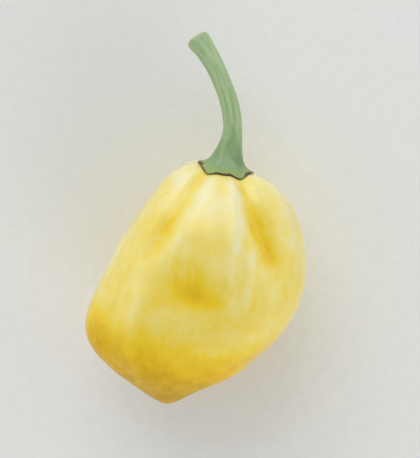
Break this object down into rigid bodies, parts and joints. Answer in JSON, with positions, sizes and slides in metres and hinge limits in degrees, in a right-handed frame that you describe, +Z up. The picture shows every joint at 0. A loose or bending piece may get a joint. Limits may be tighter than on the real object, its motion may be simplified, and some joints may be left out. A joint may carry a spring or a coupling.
{
  "type": "habanero pepper",
  "caption": "Ripe yellow habanero pepper lying on its side: a blunt-shouldered, furrowed pod tapering to a tip, with a curved green stem and calyx.",
  "frame": {"origin": "middle of the small flat spot on the underside, where the pod rests on the surface below it", "axes": "+Z up, away from the surface that the pod lies on; +Y along the pod from its tip towards the stem; +X to the right, seen from above with the stem at the top"},
  "size_m": [0.0382, 0.07, 0.0336],
  "materials": {
    "pod_skin": "gloss",
    "stem_green": "satin"
  },
  "bodies": {
    "root": {"pod": "pod_skin", "stem_and_calyx": "stem_green"}
  },
  "joints": []
}
